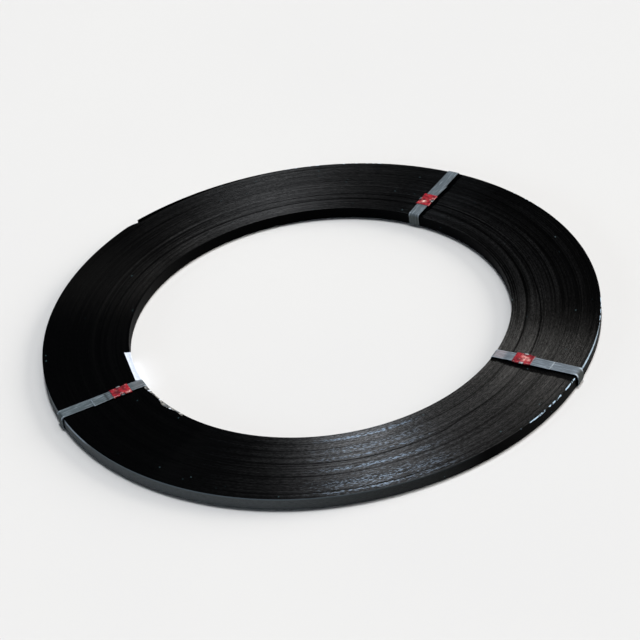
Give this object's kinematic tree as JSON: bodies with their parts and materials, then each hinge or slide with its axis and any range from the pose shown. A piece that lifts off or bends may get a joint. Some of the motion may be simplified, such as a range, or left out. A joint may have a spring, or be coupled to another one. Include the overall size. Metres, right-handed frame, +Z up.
{
  "type": "coil of steel strapping",
  "caption": "Flat ring of black painted steel strap wound ribbon fashion round an open bore, held by strap ties with crimped red seals.",
  "frame": {"origin": "on the bore's axis, on the floor under the feet of the three ties", "axes": "+Z up along the bore's axis; +X to the right and -Y towards the viewer, with the right-hand tie in front and the loose outer end of the strap at the back on the left"},
  "size_m": [0.5934, 0.5942, 0.0164],
  "materials": {
    "black_strap": "satin",
    "tie_steel": "satin",
    "red_seal": "gloss",
    "label_paper": "matte"
  },
  "bodies": {
    "root": {"strap_coil": "black_strap", "tie_left": "tie_steel", "tie_back": "tie_steel", "tie_right": "tie_steel", "seal_left": "red_seal", "seal_back": "red_seal", "seal_right": "red_seal", "inner_edge_label": "label_paper"}
  },
  "joints": []
}
